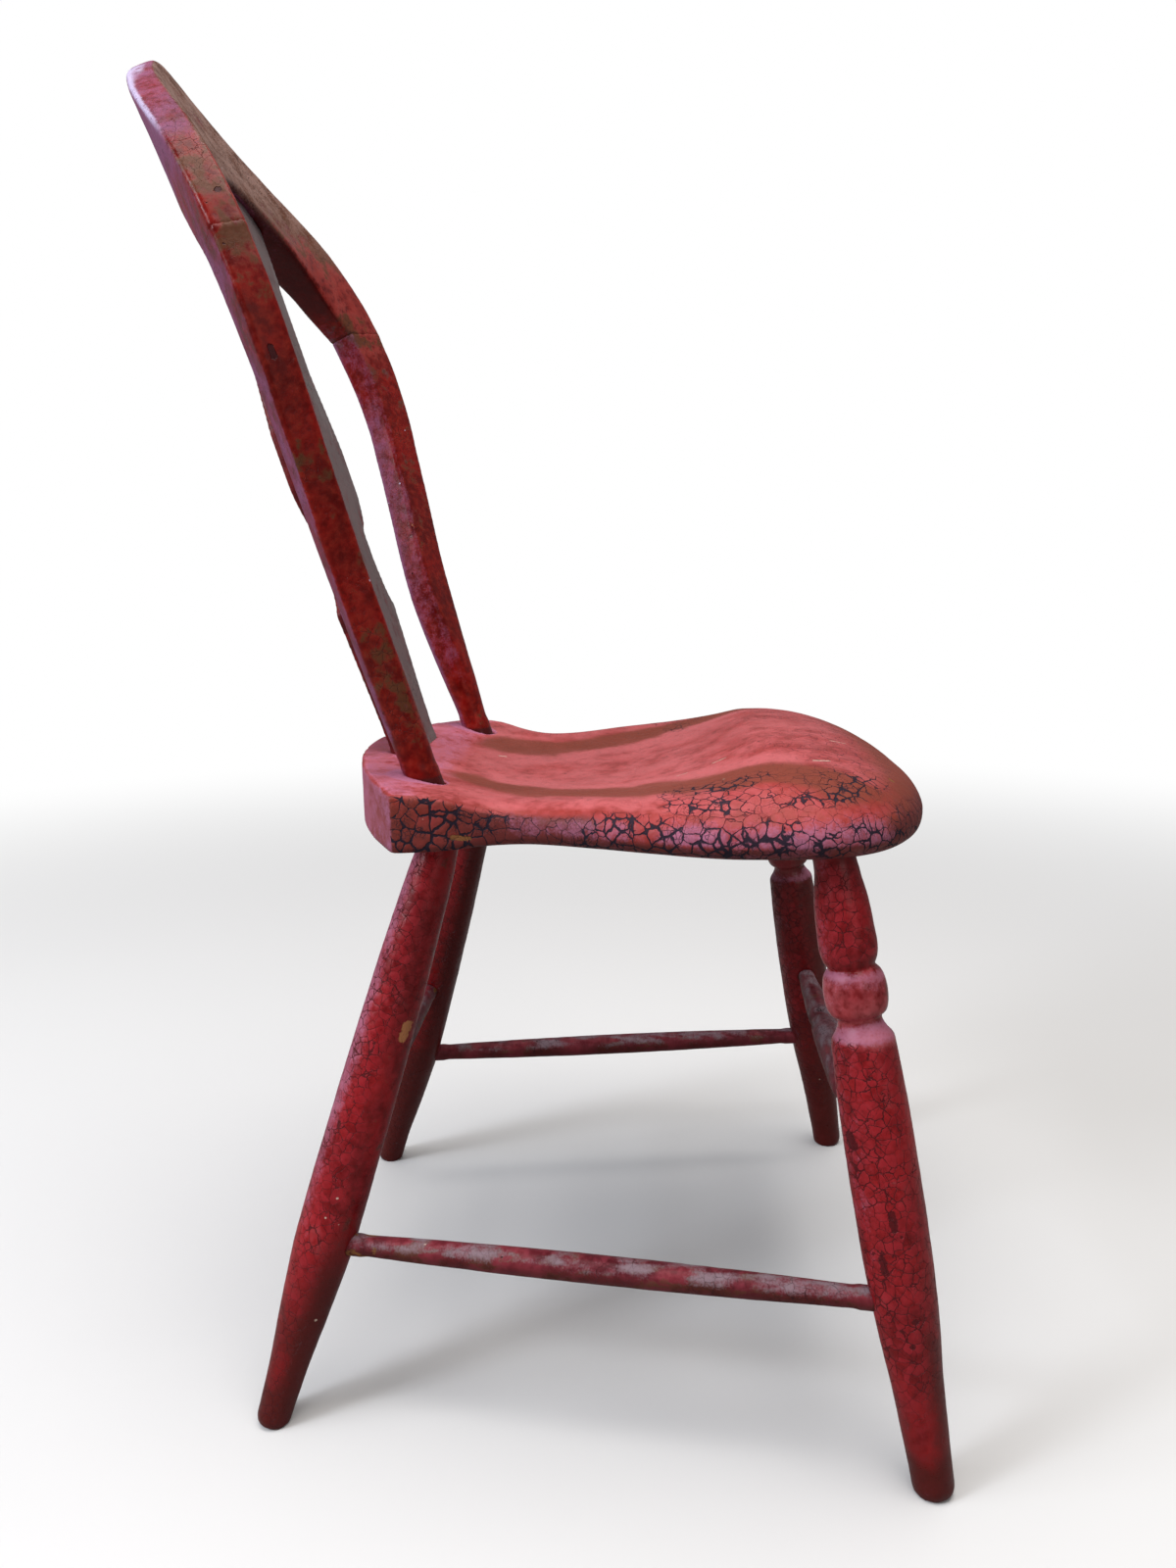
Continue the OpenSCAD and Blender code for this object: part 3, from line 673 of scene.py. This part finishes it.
@dataclass
class SeatPlank:
    """The saddled plank: coarse crackle round its edge, rubbed and grimy on top."""

    voxel: float = 0.002
    stile_foot: Point = (113.6, 65.0, 418.0)
    stile_radius: float = 10.9
    dust_ring: tuple[float, float] = (114.0, 66.0)
    paint: Paint = Paint(
        "crackled_seat_paint",
        red=(0.36, 0.036, 0.029),
        deep=(0.24, 0.020, 0.014),
        tint=(0.47, 0.062, 0.070),
        rubbed=(0.53, 0.110, 0.115),
        grime=(0.19, 0.038, 0.018),
        dust=(0.44, 0.155, 0.26),
        soot=(0.13, 0.020, 0.018),
        crack=(0.012, 0.009, 0.020),
        cell=0.0074,
        crack_width=0.115,
        gloss=0.42,
        relief=0.0008,
        mottle=0.26,
        patchy=0.6,
        grime_and_shade_edge=(0.12, 0.85),
        chips=(
            Mark((-165.3, 36.9, 386.0), 1.5, (-168.5, 27.0, 384.5)),
            Mark((-129.5, -222.7, 412.4), 1.8, facing=Facing.TOP),
        ),
        scratches=(
            Mark((-78.8, -118.5, 414.5), 0.7, (-77.0, -127.0, 415.4), Facing.TOP),
            Mark((-58.2, -197.1, 425.6), 0.7, (-56.0, -207.0, 425.8), Facing.TOP),
            Mark((-129.0, -176.6, 424.4), 0.9, (-126.0, -186.0, 425.2), Facing.TOP),
            Mark((-86.9, -95.6, 407.7), 0.6, (-85.0, -102.0, 408.4), Facing.TOP),
            Mark((42.0, 35.8, 400.9), 0.9, (44.0, 31.0, 400.6), Facing.TOP),
        ),
    )

    def build(self) -> None:
        """Makes the seat's skin and marks where it is cracked, rubbed and dirty, and where shade
        and sheen are painted.
        """
        skin = Skin("seat", self.voxel)
        skin.settle(16, 2)
        foot_x, foot_y, foot_z = self.stile_foot
        for hand in Side:
            foot = (hand.value * foot_x, foot_y, foot_z)
            skin.close_mouth(foot, self._stile_axis(hand), self.stile_radius)
        p = skin.points / MM
        span, y = np.abs(p[:, 0]), p[:, 1]
        ny, nz = skin.normals[:, 1], skin.normals[:, 2]
        lumps, blots = cloud(p, 60, 3.1), cloud(p, 22, 7.7)
        skin.dent(0.05 * blots + 0.25 * lumps)

        side = 1 - ease(nz, 0.35, 0.95)
        top = ease(nz, 0.72, 0.96)
        under = ease(nz, -0.3, -0.8)
        low = ease(nz, 0.10, -0.35)
        rear = ease(ny, 0.25, 0.6)
        front = band(y + 12 * lumps, -150, 52, 26)
        strong = np.maximum(band(y + 12 * lumps, -98, 42, 26), 0.45 * front)
        block = band(y, 50, 34, 18)
        along = np.maximum(strong * (0.95 + 0.6 * lumps), 0.75 * block)

        over = ease(span + 0.35 * (y + 150) * ease(y, -190, -130) + 40 * lumps, 135, 178)
        faint = 0.11 + 0.07 * ease(y + 60 * lumps, -140, -200)
        crackle = side * (0.26 + 0.74 * along) * (1 - 0.92 * rear)
        crackle = np.maximum(crackle, top * np.maximum(0.55 * over * front, faint))

        saddle = 96 + 0.42 * np.clip(-13 - y, -60, 200) + 14 * lumps
        rim = band(span, saddle, 5, 32) * ease(y, 70, 30)
        inside = band(span, saddle - 30, 6, 20) * ease(y, 40, 10) * ease(y, -190, -140)
        grime = top * (1.25 * rim + 0.14 * ease(lumps, 0.0, 0.3)) + 0.85 * ease(y, -190, -240)
        grime += side * (0.34 * (1 - along) + 0.45 * block + 0.26 * strong) + 0.5 * under
        wear = 0.64 - 0.16 * ease(y, -90, -160) - 0.4 * rim + 0.40 * inside
        wear = top * (wear + 0.28 * blots + 0.20 * lumps) + 0.08 * side
        # The sides are darkened, most along their under-rolled lower edge (low), which is painted
        # shade; the underside is darker too.
        soot = side * ease(y, 90, 70) * (0.70 * (1 - along) + 0.45 * low)
        soot += side * (0.30 * block + 0.25 * band(y, -20, 30, 25)) + 0.5 * under + 0.2 * lumps

        ring = band(np.hypot(span - self.dust_ring[0], y - self.dust_ring[1]), 13, 2, 6)
        # Settled dirt rings the stile feet and lies on the rear of the top; the lilac on the rear
        # face and on the front and middle of the sides is partly chalky old paint, partly painted
        # sheen of the cool window light.
        dust = top * (ring + 0.48 * ease(y, 40, 70)) + 0.50 * side * rear + 0.12 * blots
        bloom_and_sheen = 0.58 * front + 0.36 * band(y, -32, 25, 20)
        dust += side * bloom_and_sheen * (1 - 0.6 * ease(nz, 0.0, -0.4))
        skin.mark(crackle=crackle, grime=grime, wear=wear, soot=soot, dust=dust)
        skin.finish(self.paint.made())

    @staticmethod
    def _stile_axis(hand: Side) -> Vector:
        """Direction of a stile at the seat, from rings at its end and just over the seat."""
        points = np.array([v.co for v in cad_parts[f"stile_{hand.word}"].data.vertices])
        z = points[:, 2]
        levels = (z.min() + 4 * MM, 424 * MM)
        low, high = (points[np.abs(z - level) < 3 * MM] for level in levels)
        return Vector((high.max(0) + high.min(0)) - (low.max(0) + low.min(0)))


@dataclass
class TurnedLegs:
    """The four turned legs."""

    voxel: float = 0.0012
    bead_z: float = 290.0
    socket_z: tuple[float, float] = (362.0, 370.0)
    socket_swell: float = 0.6
    paint: Paint = Paint(
        "leg_paint",
        bare=(0.62, 0.25, 0.10),
        crack=(0.080, 0.003, 0.005),
        cell=0.0060,
        crack_width=0.050,
        gloss=0.32,
        relief=0.0005,
        chips=(Mark((-126.9, 77.3, 254.3), 2.5, (-128.5, 80.0, 246.0)),),
        pits=(
            Mark((-210.2, -214.5, 176.1), 2.2, (-211.0, -216.5, 168.0)),
            Mark((-210.8, -210.3, 148.2), 2.0, (-211.5, -211.5, 141.0)),
            Mark((-216.9, -229.1, 113.1), 1.8),
            Mark((-217.9, -227.7, 98.1), 1.6),
            Mark((-195.4, -192.7, 216.1), 2.4, (-196.5, -194.0, 211.0)),
        ),
        scratches=(
            Mark((-157.9, 119.7, 150.6), 0.8),
            Mark((-160.9, 127.1, 138.7), 0.7),
            Mark((-167.5, 135.3, 71.5), 0.9),
        ),
    )

    def build(self) -> None:
        """Makes the skins of all four legs."""
        material = self.paint.made()
        for end in ("front", "rear"):
            for hand in Side:
                self._leg(end, hand, material)

    def _leg(self, end: str, hand: Side, material: bpy.types.Material) -> None:
        """Makes one leg and marks its wear, its painted shade and its painted sheen.

        Args:
            end: Front or rear.
            hand: The sitter's side.
            material: The paint.
        """
        skin = Skin(f"leg_{end}_{hand.word}", self.voxel)
        skin.settle(4, 1)
        p = skin.points / MM
        z = p[:, 2]
        lumps, blots = cloud(p, 40, 1.3 + hand.value), cloud(p, 14, 5.2)
        skin.dent(0.2 * lumps + 0.12 * blots - self.socket_swell * ease(z, *self.socket_z))
        ny, nz = skin.normals[:, 1], skin.normals[:, 2]
        # behind marks the faces turned to the window lamp; the lilac laid on them is partly chalky
        # old paint, partly painted sheen.
        behind = ease(ny, 0.15, 0.85)
        if end == "front":
            crackle = 0.70 * ease(z, 25, 90) * ease(z, 276, 262) + 0.5 * band(z, 345, 22, 12)
            bead = band(z, self.bead_z, 18, 6)
            bloom_and_sheen = 0.22 * behind * ease(z, 40, 200)
            low = 0.45 * ease(z, 160, 40)
        else:
            crackle = 0.28 + 0.27 * band(z, 230, 70, 50)
            bead = np.zeros(len(z))
            bloom_and_sheen = 0.62 * behind * ease(z, 60, 220)
            low = 0.62 * ease(z, 160, 40)
        foot = ease(z, 34, 4)
        # Painted shade: faces turned away from the lamps are darkened.
        shade = ease(ny, 0.2, -0.8)
        # Painted shade: the far legs are darkened as if in the shadow under the seat.
        far = 0.50 if hand is Side.LEFT else 0.0
        skin.mark(
            crackle=crackle * (1 + 0.6 * lumps) * (0.35 + 0.65 * ease(ny, -0.6, 0.3)),
            grime=0.22 * blots + 0.14 * shade + 0.10 * foot,
            wear=0.08 + 0.40 * bead + 0.25 * lumps,
            # Dirt at the foot tips, darker towards the foot, plus the painted shade above.
            soot=0.85 * foot + 0.30 * shade + low + far + 0.15 * lumps,
            polish=0.8 * bead,
            dust=0.62 * bead * ease(nz, 0.0, 0.6) + bloom_and_sheen + 0.10 * blots,
        )
        skin.finish(material)


@dataclass
class Stretchers:
    """The four turned bars between the legs."""

    voxel: float = 0.0012
    socket_depth: tuple[float, float] = (26.0, 20.0)
    socket_swell: float = 0.8
    paint: Paint = Paint(
        "stretcher_paint",
        red=(0.20, 0.020, 0.030),
        deep=(0.09, 0.007, 0.012),
        tint=(0.30, 0.040, 0.060),
        dust=(0.30, 0.21, 0.24),
        crack=(0.040, 0.008, 0.010),
        cell=0.0055,
        crack_width=0.05,
        gloss=0.44,
        relief=0.0005,
    )

    def build(self) -> None:
        """Makes the skins of all four bars."""
        material = self.paint.made()
        for name in ("front", "rear", "right", "left"):
            skin = Skin(f"stretcher_{name}", self.voxel)
            skin.settle(4, 2)
            p = skin.points / MM
            lengthwise = 1 if name in ("right", "left") else 0
            run = (1.0, 3.5, 1.0) if lengthwise else (3.5, 1.0, 1.0)
            lumps, streaks = cloud(p, 30, 2.2), cloud(p, 7, 8.4, run)
            along = p[:, lengthwise]
            to_end = np.minimum(along - along.min(), along.max() - along)
            swell = self.socket_swell * ease(to_end, *self.socket_depth)
            skin.dent(0.15 * lumps + 0.08 * streaks - swell)
            up = ease(skin.normals[:, 2], -0.3, 0.8)
            skin.mark(
                crackle=0.15 + 0.2 * lumps,
                grime=0.35 + 0.5 * streaks,
                wear=0.25 * up,
                soot=0.30 + 0.3 * lumps + 0.3 * (1 - up),
                dust=up * (0.40 + 0.4 * lumps + 0.55 * streaks),
                chip=0.35 * ease(p[:, 1], 85, 100) * (1 + streaks),
            )
            skin.finish(material)


@dataclass
class BackFrame:
    """The two stiles and the crest rail over them."""

    voxel: float = 0.0014
    lean: float = 0.345
    seat_z: tuple[float, float] = (424.0, 418.0)
    socket_swell: float = 0.7
    joint_swell: float = 0.25
    reach_right: float = 1.3
    reach_left: float = 0.7
    paint: Paint = Paint(
        "back_frame_paint",
        red=(0.21, 0.004, 0.002),
        deep=(0.10, 0.002, 0.001),
        tint=(0.30, 0.022, 0.010),
        rubbed=(0.31, 0.045, 0.036),
        grime=(0.092, 0.036, 0.013),
        dust=(0.25, 0.088, 0.175),
        soot=(0.050, 0.006, 0.006),
        crack=(0.045, 0.004, 0.006),
        bare=(0.50, 0.25, 0.08),
        # Pale lilac, also used for the painted highlight on the crest.
        fleck_and_highlight=(0.58, 0.52, 0.72),
        cell=0.006,
        crack_width=0.045,
        specular=0.15,
        gloss=0.33,
        relief=0.0010,
        mottle=0.7,
        pits=(
            Mark((-163.5, 128.0, 660.9), 1.5, (-163.3, 126.5, 656.0)),
            Mark((-157.6, 153.6, 743.6), 1.8),
        ),
    )

    def build(self) -> None:
        """Makes the skins of the stiles and the crest rail."""
        material = self.paint.made()
        for node in ("stile_right", "stile_left", "crest_rail"):
            self._member(node, material)

    def _member(self, node: str, material: bpy.types.Material) -> None:
        """Makes one piece of the frame and marks its wear, its painted shade, sheen and highlight.

        Args:
            node: Name of the frame node.
            material: The paint.
        """
        skin = Skin(node, self.voxel)
        skin.settle(10, 2)
        arris = skin.arris()
        up = Vector((0.0, self.lean, 1.0))
        right = (skin.points[:, 0] < 0).astype(float)
        joint_way = -up if node == "crest_rail" else up
        for reach, where in ((self.reach_right, right), (self.reach_left, 1 - right)):
            if where.any():
                skin.reach_past(joint_way, reach, where)
        p = skin.points / MM
        z = p[:, 2]
        lumps, blots = cloud(p, 45, 4.4), cloud(p, 12, 6.1)
        along = p @ np.array(up.normalized())
        joint = along.min() if node == "crest_rail" else along.max()
        swell = self.joint_swell * band(along, joint, 2, 4)
        swell += self.socket_swell * ease(z, *self.seat_z)
        skin.dent(0.2 * lumps + 0.1 * blots - swell)

        nx, ny, nz = skin.normals.T
        outward = nx * np.sign(p[:, 0])
        arris *= 1 - band(along, joint, 4, 2)
        crest = ease(z, 715, 745)
        face = ease(-ny, 0.2, 0.6)
        behind = ease(ny, 0.3, 0.8)
        outer = ease(outward, 0.3, 0.7)
        inner = ease(-outward, 0.3, 0.7) * (1 - crest)
        # Painted shade: the crest's underside is darkened.
        under = ease(nz, -0.2, -0.6) * crest
        high = ease(z, 752, 800) * (1 - face)
        seam = band(along, joint, 8, 10)
        olive = 1.3 * band(z, 752, 8, 14) + band(z, 708, 12, 25)
        olive += 0.9 * band(z, 610, 10, 20) + 0.6 * band(z, 480, 15, 25)

        grime = 0.04 + face * (0.14 + 0.66 * ease(z, 758, 800)) + 0.35 * lumps
        grime += 0.22 * blots + 0.30 * outer * olive + 0.22 * seam
        wear = 0.22 * crest * (1 - face) + face * (0.12 + 0.50 * band(z, 745, 32, 20))
        # The lilac on the rear faces, the far stile's inner face and the crest's top is partly
        # chalky old paint, partly painted sheen of the cool window light.
        bloom_and_sheen = 0.50 * behind + 0.31 * inner * ease(z, 430, 480) + 0.58 * high
        # Painted highlight: a pale line along the crest's rear arris, where the window lamp's
        # gloss falls.
        rear_arris_highlight = band(ny, 0.50, 0.26, 0.12) * ease(outward, 0.10, 0.30)
        edges = (0.60 + 0.30 * band(z, 560, 60, 30) * (1 - outer)) * arris * (1 - behind)
        skin.mark(
            crackle=0.08 + 0.20 * lumps,
            grime=grime,
            wear=wear + 0.3 * lumps,
            soot=0.8 * under + 0.85 * ease(z, 415.5, 412) + 0.15 * lumps - 0.2 * blots,
            polish=crest * arris,
            dust=bloom_and_sheen + 0.15 * blots + 0.3 * lumps * (behind + high),
            ash=0.75 * face * ease(z, 760, 812) + 0.10 * band(z, 757, 9, 8) * outer,
            gleam=rear_arris_highlight * ease(z, 772, 795) * ease(z, 862, 850),
            chip=edges * (0.85 + 0.8 * lumps) * (1 - 0.7 * crest),
        )
        skin.finish(material)


@dataclass
class SplatBoard:
    """The fiddle-shaped board, under a grey film of settled dirt and painted sheen."""

    voxel: float = 0.0014
    foot_z: tuple[float, float] = (422.0, 416.0)
    head_z: tuple[float, float] = (738.0, 744.0)
    slot_swell: float = 0.5
    paint: Paint = Paint(
        "splat_paint",
        red=(0.14, 0.008, 0.008),
        deep=(0.08, 0.003, 0.004),
        dust=(0.16, 0.142, 0.142),
        ash=(0.33, 0.31, 0.30),
        cell=0.007,
        crack_width=0.035,
        gloss=0.46,
        relief=0.0004,
    )

    def build(self) -> None:
        """Makes the splat's skin."""
        skin = Skin("splat", self.voxel)
        skin.settle(3, 2)
        p = skin.points / MM
        z = p[:, 2]
        lumps, blots = cloud(p, 50, 9.3), cloud(p, 9, 2.8, (1, 1, 4))
        swell = self.slot_swell * (ease(z, *self.foot_z) + ease(z, *self.head_z))
        skin.dent(0.12 * lumps - swell)
        flat = ease(np.abs(skin.normals[:, 0]), 0.6, 0.25)
        front = flat * ease(-skin.normals[:, 1], 0.1, 0.5)
        skin.mark(
            crackle=0.1 + 0.1 * lumps,
            grime=0.20 + 0.3 * lumps,
            soot=0.3 * (1 - flat),
            ash=0.7 * front * ease(cloud(p, 16, 1.9, (1, 1, 3)), 0.15, 0.5),
            # The grey on the front is partly settled dirt, partly painted sheen of grazing window
            # light.
            dust=front * (0.90 + 0.50 * blots) + 0.35 * (flat - front),
        )
        skin.finish(self.paint.made())


@dataclass
class Dowels:
    """The hidden dowels in the joints of the back."""

    wood: BareWood = BareWood()

    def build(self) -> None:
        """Gives the two frame nodes their wood."""
        material = self.wood.made()
        for hand in Side:
            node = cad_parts[f"dowel_{hand.word}"]
            node.data.materials.clear()
            node.data.materials.append(material)
            LOG.info("%s: dressed", node.name)


# ---- The studio ----


@dataclass(frozen=True)
class Lamp:
    """A soft square lamp that shines on the chair."""

    name: str
    at: Point
    size: float
    watts: float
    colour: Colour
    towards: Point = (0.0, 0.0, 0.4)

    def hang(self) -> None:
        """Adds the lamp to the scene."""
        data = bpy.data.lights.new(self.name, "AREA")
        data.size = self.size
        data.energy = self.watts
        data.color = self.colour
        lamp = bpy.data.objects.new(self.name, data)
        lamp.location = self.at
        lamp.rotation_mode = "QUATERNION"
        way = Vector(self.towards) - Vector(self.at)
        lamp.rotation_quaternion = way.to_track_quat("-Z", "Y")
        bpy.context.scene.collection.objects.link(lamp)


@dataclass
class Studio:
    """Floor, light and camera."""

    eye: Vector = Vector((-0.818876, -0.07992, 0.539485))
    look: Vector = Vector((0.98147, 0.05570, -0.18333))
    right: Vector = Vector((0.05406, -0.99844, -0.01392))
    lens: float = 26.55
    sensor: float = 36.0
    floor_half: float = 9.0
    floor_fade: tuple[float, float] = (0.7, 2.6)
    floor_roughness: float = 0.9
    floor_colour: Colour = (0.80, 0.79, 0.77)
    floor_bounce: Colour = (0.34, 0.33, 0.32)
    soft_light: Colour = (0.93, 0.95, 1.0)
    soft_strength: float = 0.28
    lamps: tuple[Lamp, ...] = (
        Lamp("window", (-1.1, 2.1, 1.9), 1.6, 32.0, (0.88, 0.92, 1.0), (0.0, 0.0, 0.45)),
        Lamp("pane", (-1.3, 2.0, 1.7), 0.5, 22.0, (0.84, 0.90, 1.0), (0.0, 0.0, 0.45)),
        Lamp("ceiling", (-0.3, -0.2, 2.7), 2.0, 56.0, (1.0, 0.97, 0.95)),
        Lamp("room", (-2.4, -1.4, 1.4), 1.6, 9.0, (1.0, 0.96, 0.92)),
    )

    def build(self) -> None:
        """Sets up the whole studio."""
        self._camera()
        self._floor()
        self._world()
        for lamp in self.lamps:
            lamp.hang()
        bpy.context.scene.view_settings.view_transform = "Standard"

    def _camera(self) -> None:
        """Places the camera by its eye point and its two directions."""
        data = bpy.data.cameras.new("camera")
        data.lens = self.lens
        data.sensor_width = self.sensor
        data.clip_start = 0.02
        camera = bpy.data.objects.new("camera", data)
        up = self.right.cross(self.look)
        turn = Matrix((self.right, up, -self.look)).transposed()
        camera.matrix_world = Matrix.Translation(self.eye) @ turn.to_4x4()
        bpy.context.scene.collection.objects.link(camera)
        bpy.context.scene.camera = camera

    def _floor(self) -> None:
        """Lays a pale floor that turns white away from the chair, seen straight."""
        shape = bmesh.new()
        bmesh.ops.create_grid(shape, x_segments=1, y_segments=1, size=self.floor_half)
        mesh = bpy.data.meshes.new("floor")
        shape.to_mesh(mesh)
        shape.free()
        g = Graph("studio_floor")
        seen = g.node("ShaderNodeLightPath").outputs["Is Camera Ray"]
        bsdf = g.node("ShaderNodeBsdfPrincipled")
        g.feed(bsdf.inputs["Base Color"], g.mix(seen, self.floor_bounce, self.floor_colour))
        bsdf.inputs["Roughness"].default_value = self.floor_roughness
        glow = g.node("ShaderNodeEmission")
        reach = g.node("ShaderNodeVectorMath", operation="LENGTH")
        g.feed(reach.inputs[0], g.place)
        share = g.times(g.step(reach.outputs["Value"], *self.floor_fade), seen)
        blend = g.node("ShaderNodeMixShader")
        g.feed(blend.inputs[0], share)
        g.feed(blend.inputs[1], bsdf.outputs[0])
        g.feed(blend.inputs[2], glow.outputs[0])
        mesh.materials.append(g.surface(blend))
        floor = bpy.data.objects.new("floor", mesh)
        bpy.context.scene.collection.objects.link(floor)

    def _world(self) -> None:
        """Fills the room with soft light and shows it white behind the chair."""
        world = bpy.data.worlds.new("studio")
        bpy.context.scene.world = world
        world.use_nodes = True
        tree = world.node_tree
        tree.nodes.clear()
        soft = tree.nodes.new("ShaderNodeBackground")
        soft.inputs["Color"].default_value = (*self.soft_light, 1.0)
        soft.inputs["Strength"].default_value = self.soft_strength
        white = tree.nodes.new("ShaderNodeBackground")
        white.inputs["Color"].default_value = (1.0, 1.0, 1.0, 1.0)
        blend = tree.nodes.new("ShaderNodeMixShader")
        path = tree.nodes.new("ShaderNodeLightPath")
        out = tree.nodes.new("ShaderNodeOutputWorld")
        tree.links.new(path.outputs["Is Camera Ray"], blend.inputs[0])
        tree.links.new(soft.outputs[0], blend.inputs[1])
        tree.links.new(white.outputs[0], blend.inputs[2])
        tree.links.new(blend.outputs[0], out.inputs["Surface"])


def main() -> None:
    """Builds the studio and every piece in order."""
    logging.basicConfig(level=logging.INFO, format="%(name)s: %(message)s")
    Studio().build()
    for part in (SeatPlank(), TurnedLegs(), Stretchers(), BackFrame(), SplatBoard(), Dowels()):
        LOG.info("building %s", type(part).__name__)
        part.build()


if __name__ == "__main__":
    main()
